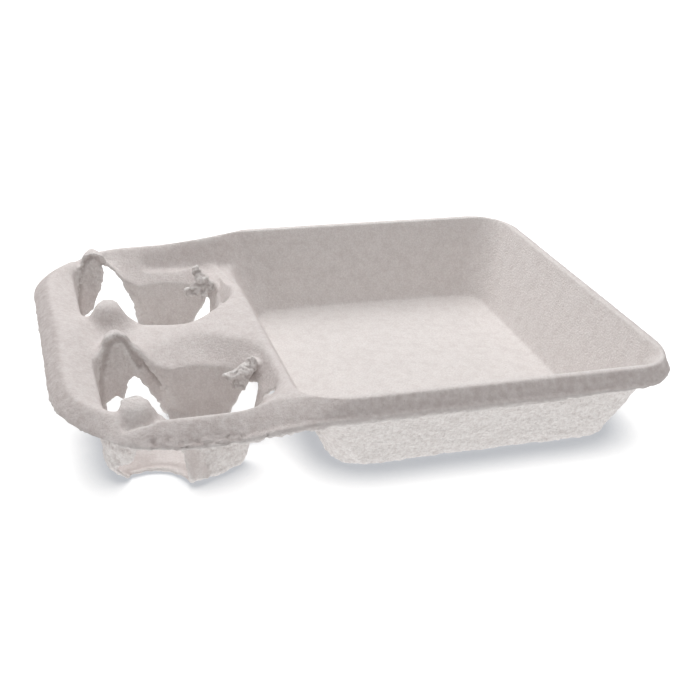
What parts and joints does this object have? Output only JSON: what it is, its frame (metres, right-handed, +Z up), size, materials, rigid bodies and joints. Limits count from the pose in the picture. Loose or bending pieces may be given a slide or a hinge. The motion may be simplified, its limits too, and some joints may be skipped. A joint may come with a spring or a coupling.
{
  "type": "moulded-pulp cup carrier with a food tray",
  "caption": "Moulded-pulp carrier that holds two drinks in wells at one end and food in a deep tray at the other.",
  "frame": {"origin": "on the surface it stands on, under the middle of its bounding box", "axes": "+X from the cup end to the tray end, +Y to the long side away from the viewer, +Z up"},
  "size_m": [0.334, 0.256, 0.0539],
  "materials": {
    "pulp": "matte"
  },
  "bodies": {
    "root": {"carrier": "pulp"}
  },
  "joints": []
}
